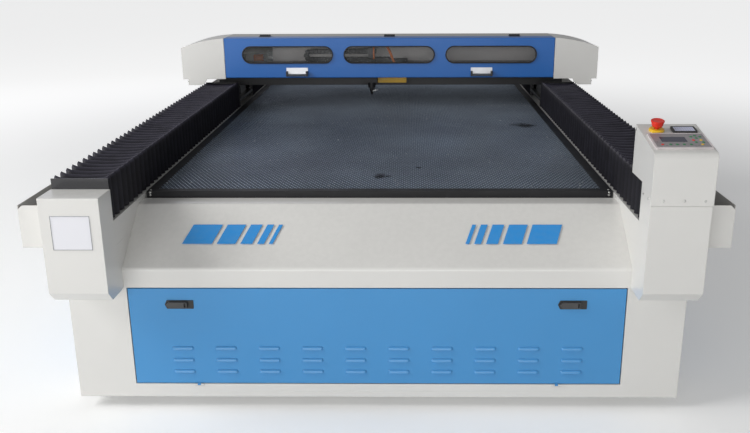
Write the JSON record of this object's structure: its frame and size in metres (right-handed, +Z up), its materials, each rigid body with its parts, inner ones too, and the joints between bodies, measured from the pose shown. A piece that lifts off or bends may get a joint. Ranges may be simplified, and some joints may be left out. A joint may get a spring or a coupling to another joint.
{
  "type": "laser engraving machine",
  "caption": "Flatbed laser engraving machine: hooded gantry over a honeycomb table between bellows-covered guides, louvred front door, control box on the right front post.",
  "frame": {"origin": "on the floor under the middle of the machine, centre of its bounding box", "axes": "+Z up, +Y from the front door to the back, +X to the right as seen from the front"},
  "size_m": [2.17, 4, 1.0365],
  "materials": {
    "white_paint": "satin powder coat",
    "blue_paint": "satin powder coat",
    "black_paint": "satin black",
    "frame_steel": "grey primer",
    "zinc_steel": "zinc plated",
    "rail_steel": "ground",
    "aluminium": "satin",
    "black_aluminium": "black anodised",
    "honeycomb_metal": "weathered aluminium honeycomb",
    "bellows_cloth": "coated cloth",
    "belt_rubber": "matt",
    "chain_plastic": "matt black nylon",
    "glass": "clear",
    "screen": "display pane",
    "red_plastic": "gloss",
    "yellow_plastic": "gloss",
    "yellow_paint": "gloss",
    "orange_plastic": "translucent hose",
    "grey_plastic": "matt",
    "black_plastic": "matt",
    "overlay_plastic": "printed film"
  },
  "bodies": {
    "base": {"base_frame": "frame_steel", "levelling_feet": "zinc_steel", "floor_pan": "zinc_steel", "front_panel": "white_paint", "rear_panel": "white_paint", "side_panels": "white_paint", "service_covers": "blue_paint", "side_beams": "white_paint", "corner_posts": "white_paint", "bed_frame": "black_aluminium", "honeycomb": "honeycomb_metal", "bed_bars": "zinc_steel", "y_rails": "rail_steel", "y_belts": "belt_rubber", "idler_brackets": "zinc_steel", "y_motors": "black_paint", "bellows_front_left": "bellows_cloth", "bellows_front_right": "bellows_cloth", "bellows_rear_left": "bellows_cloth", "bellows_rear_right": "bellows_cloth", "end_plates": "black_paint", "cable_trays": "white_paint", "cable_chains": "chain_plastic", "control_box": "white_paint", "keypad_frame": "grey_plastic", "keypad_overlay": "overlay_plastic", "status_bezel": "black_plastic", "status_screen": "screen", "stop_collar": "yellow_plastic", "power_supply": "zinc_steel"},
    "front_door": {"front_door": "blue_paint", "lock_plates": "black_plastic"},
    "lock_spindle_left": {"lock_spindle_left": "black_plastic"},
    "lock_spindle_right": {"lock_spindle_right": "black_plastic"},
    "lock_lever_left": {"lock_lever_left": "black_plastic"},
    "lock_lever_right": {"lock_lever_right": "black_plastic"},
    "front_idlers": {"front_idlers": "aluminium"},
    "rear_pulleys": {"rear_pulleys": "aluminium"},
    "stop_button": {"stop_button": "red_plastic"},
    "gantry": {"gantry_beam": "black_paint", "gantry_feet": "black_paint", "hood_shell": "white_paint", "end_caps": "white_paint", "hood_hinges": "black_paint", "laser_tube": "glass", "optics_mounts": "aluminium", "cross_rail": "rail_steel", "cross_belt": "belt_rubber", "cross_motor": "black_paint", "head_chain": "chain_plastic"},
    "hood_door": {"hood_door": "blue_paint", "windows": "glass", "pulls": "aluminium", "hinge_leaves": "black_paint"},
    "drive_pulley": {"drive_pulley": "aluminium"},
    "idler_pulley": {"idler_pulley": "aluminium"},
    "head": {"head_carriage": "black_aluminium", "head_plate": "yellow_paint", "air_hose": "orange_plastic"},
    "focus": {"lens_tube": "aluminium"}
  },
  "joints": [
    {"name": "gantry_slide", "type": "slide", "parent": "base", "child": "gantry", "axis": [0, 1, 0], "range_m": [-1.76, 1.2], "deforming": ["bellows_front_left", "bellows_front_right", "bellows_rear_left", "bellows_rear_right", "cable_chains"]},
    {"name": "head_slide", "type": "slide", "parent": "gantry", "child": "head", "axis": [1, 0, 0], "range_m": [-0.6, 0.8], "deforming": ["head_chain"]},
    {"name": "focus_slide", "type": "slide", "parent": "head", "child": "focus", "axis": [0, 0, 1], "range_m": [-0.02, 0.02]},
    {"name": "hood_door_hinge", "type": "hinge", "parent": "gantry", "child": "hood_door", "pos_m": [0, 0.191, 1.032], "axis": [-1, 0, 0], "range_deg": [0, 100]},
    {"name": "front_door_hinge", "type": "hinge", "parent": "base", "child": "front_door", "pos_m": [0, -1.872, 0.086], "axis": [1, 0, 0], "range_deg": [0, 88]},
    {"name": "lock_turn_left", "type": "hinge", "parent": "front_door", "child": "lock_spindle_left", "pos_m": [-0.606, -1.869, 0.369], "axis": [0, -1, 0], "range_deg": [0, 90]},
    {"name": "lock_turn_right", "type": "hinge", "parent": "front_door", "child": "lock_spindle_right", "pos_m": [0.646, -1.869, 0.369], "axis": [0, -1, 0], "range_deg": [0, 90]},
    {"name": "lever_flip_left", "type": "hinge", "parent": "lock_spindle_left", "child": "lock_lever_left", "pos_m": [-0.606, -1.8751, 0.369], "axis": [0, 0, 1], "range_deg": [0, 60]},
    {"name": "lever_flip_right", "type": "hinge", "parent": "lock_spindle_right", "child": "lock_lever_right", "pos_m": [0.646, -1.8751, 0.369], "axis": [0, 0, 1], "range_deg": [0, 60]},
    {"name": "front_idler_spin", "type": "hinge", "parent": "base", "child": "front_idlers", "pos_m": [0, -1.854, 0.6913], "axis": [-1, 0, 0], "range_deg": [-3640, 2490]},
    {"name": "rear_pulley_spin", "type": "hinge", "parent": "base", "child": "rear_pulleys", "pos_m": [0, 1.854, 0.6913], "axis": [-1, 0, 0], "range_deg": [-3640, 2490]},
    {"name": "drive_pulley_spin", "type": "hinge", "parent": "gantry", "child": "drive_pulley", "pos_m": [-0.925, 0.312, 0.852], "axis": [0, 1, 0], "range_deg": [-2500, 3330]},
    {"name": "idler_pulley_spin", "type": "hinge", "parent": "gantry", "child": "idler_pulley", "pos_m": [0.925, 0.312, 0.852], "axis": [0, 1, 0], "range_deg": [-2500, 3330]},
    {"name": "stop_push", "type": "slide", "parent": "base", "child": "stop_button", "axis": [0, 0.191, -0.9816], "range_m": [0, 0.005], "stiffness_N_per_m": 1500, "springref_m": -0.003}
  ],
  "couplings": [
    {"joint": "front_idler_spin", "follows": "gantry_slide", "rad_per_m": 35.971},
    {"joint": "rear_pulley_spin", "follows": "gantry_slide", "rad_per_m": 35.971},
    {"joint": "drive_pulley_spin", "follows": "head_slide", "rad_per_m": 72.464},
    {"joint": "idler_pulley_spin", "follows": "head_slide", "rad_per_m": 72.464}
  ]
}
